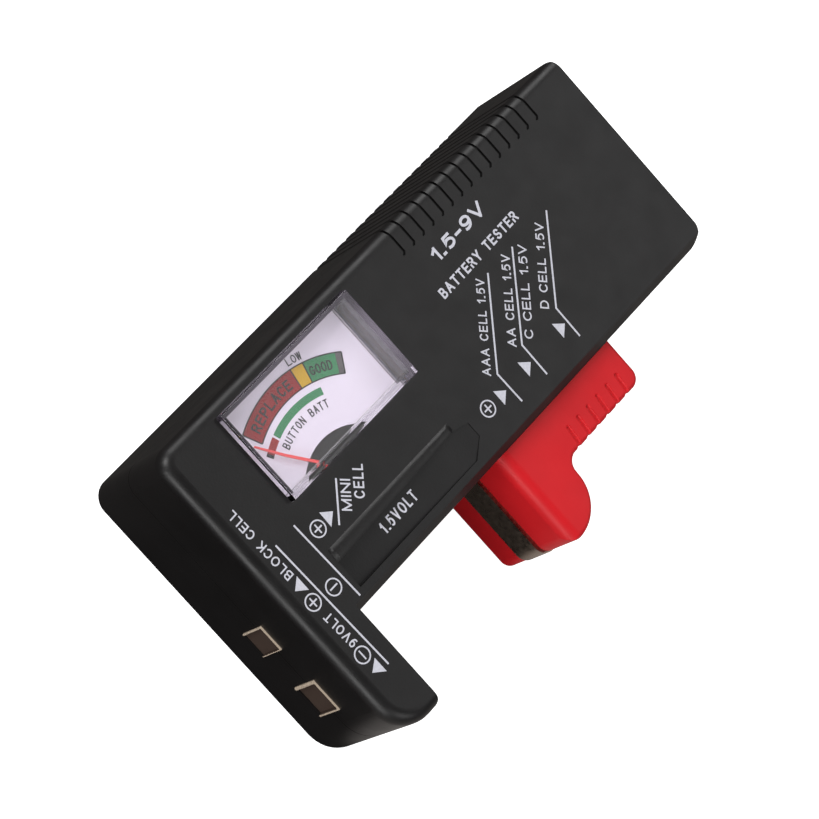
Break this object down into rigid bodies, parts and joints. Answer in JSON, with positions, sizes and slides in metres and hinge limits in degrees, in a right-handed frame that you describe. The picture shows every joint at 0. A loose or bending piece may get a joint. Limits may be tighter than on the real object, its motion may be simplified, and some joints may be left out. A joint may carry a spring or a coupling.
{
  "type": "battery tester",
  "caption": "Handheld battery tester with a sliding contact arm, a sprung pointer meter under a clear cover, a cell bay beside the case and end contacts for square batteries.",
  "frame": {"origin": "under the middle of the bounding box, on the back face", "axes": "+Z out of the dial face; +Y along the case from the nine-volt end to the far end; +X from the plain side towards the slider"},
  "size_m": [0.058, 0.1032, 0.0265],
  "materials": {
    "case_black": "satin moulded",
    "slider_red": "satin moulded",
    "clear_cover": "clear polished plastic",
    "tray_grey": "moulded",
    "dial_white": "printed card",
    "magnet_metal": "ground",
    "yoke_iron": "plated",
    "frame_aluminium": "stamped",
    "brass": "bright",
    "coil_copper": "enamelled copper wire",
    "screw_steel": "zinc plated",
    "pointer_red": "painted",
    "contact_nickel": "nickel plated, dull",
    "board_brown": "phenolic board",
    "resistor_tan": "coated",
    "tinned_wire": "tinned",
    "wire_red": "sleeved wire",
    "wire_black": "sleeved wire",
    "carriage_white": "moulded"
  },
  "bodies": {
    "housing": {"front_shell": "case_black", "rear_shell": "case_black", "case_screws": "screw_steel", "meter_cover": "clear_cover", "meter_tray": "tray_grey", "dial_plate": "dial_white", "magnet_core": "magnet_metal", "yoke_ring": "yoke_iron", "lower_frame": "frame_aluminium", "upper_bridge": "frame_aluminium", "jewel_screws": "brass", "meter_terminals": "brass", "nine_volt_positive": "contact_nickel", "nine_volt_negative": "contact_nickel", "foot_contact": "contact_nickel", "pickup_rail": "brass", "circuit_board": "board_brown", "board_screws": "screw_steel", "resistor_bodies": "resistor_tan", "resistor_leads": "tinned_wire", "positive_leads": "wire_red", "negative_leads": "wire_black"},
    "slider": {"slider_body": "slider_red", "positive_contact": "contact_nickel", "slider_carriage": "carriage_white", "carriage_screws": "screw_steel", "wiper_spring": "brass"},
    "pointer_movement": {"pointer": "pointer_red", "moving_coil": "coil_copper", "pivot_shafts": "screw_steel", "counterweight": "brass", "hairsprings": "brass"}
  },
  "joints": [
    {"name": "slider_travel", "type": "slide", "parent": "housing", "child": "slider", "axis": [0, 1, 0], "range_m": [-0.034, 0.0264]},
    {"name": "pointer_swing", "type": "hinge", "parent": "housing", "child": "pointer_movement", "pos_m": [-0.0013, -0.0253, 0.0137], "axis": [0, 0, -1], "range_deg": [0, 68], "stiffness_Nm_per_rad": 0.00002}
  ]
}
